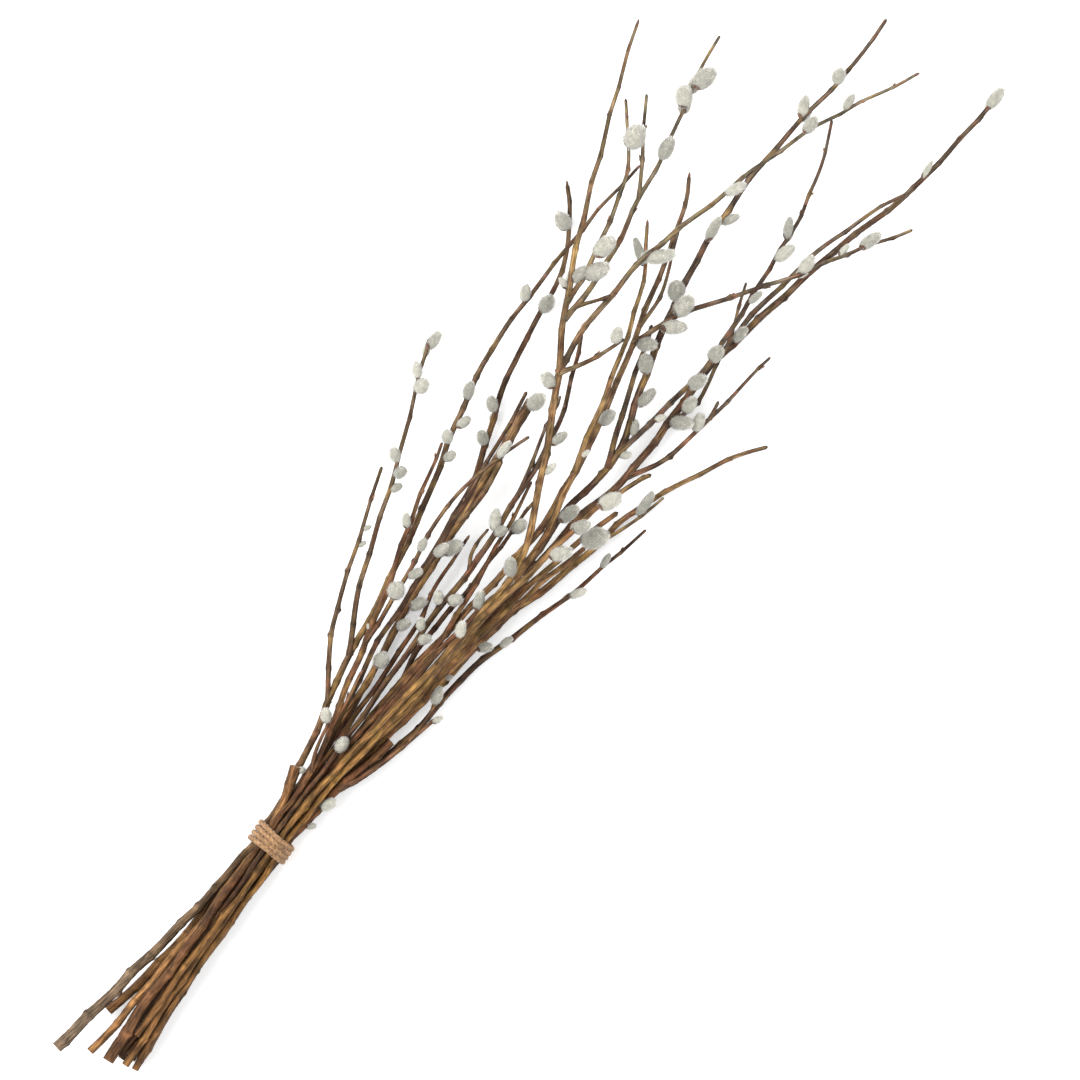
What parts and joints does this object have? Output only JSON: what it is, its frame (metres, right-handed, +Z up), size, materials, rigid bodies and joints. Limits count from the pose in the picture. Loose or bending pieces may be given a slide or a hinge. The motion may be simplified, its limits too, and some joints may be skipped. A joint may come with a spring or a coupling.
{
  "type": "pussy willow bunch",
  "caption": "Bunch of cut pussy willow branches with silver catkins, bound near the cut ends with jute twine and lying on its side.",
  "frame": {"origin": "flat underside of the twine tie, on the surface that the bunch lies on", "axes": "+X along the bunch from the cut ends to the tips, +Y across the fan, +Z up from the surface"},
  "size_m": [0.9065, 0.2384, 0.1094],
  "materials": {
    "bark_grey": "dull grey-brown bark",
    "bark_tan": "dull tan bark",
    "bark_brown": "satin red-brown bark",
    "bark_golden": "satin golden bark",
    "bark_dark": "dull dark bark",
    "catkin": "silky silver hairs",
    "bud_scale": "glossy brown bud scale",
    "twine": "coarse jute"
  },
  "bodies": {
    "root": {"branch_01": "bark_grey", "branch_02": "bark_brown", "branch_03": "bark_brown", "branch_04": "bark_tan", "branch_05": "bark_golden", "branch_06": "bark_dark", "branch_07": "bark_brown", "branch_08": "bark_golden", "branch_09": "bark_tan", "branch_10": "bark_dark", "branch_11": "bark_brown", "branch_12": "bark_golden", "branch_13": "bark_dark", "branch_14": "bark_brown", "branch_15": "bark_brown", "branch_16": "bark_tan", "branch_17": "bark_golden", "branch_18": "bark_golden", "branch_19": "bark_dark", "branch_20": "bark_brown", "branch_21": "bark_dark", "branch_22": "bark_tan", "tie": "twine"}
  },
  "joints": []
}
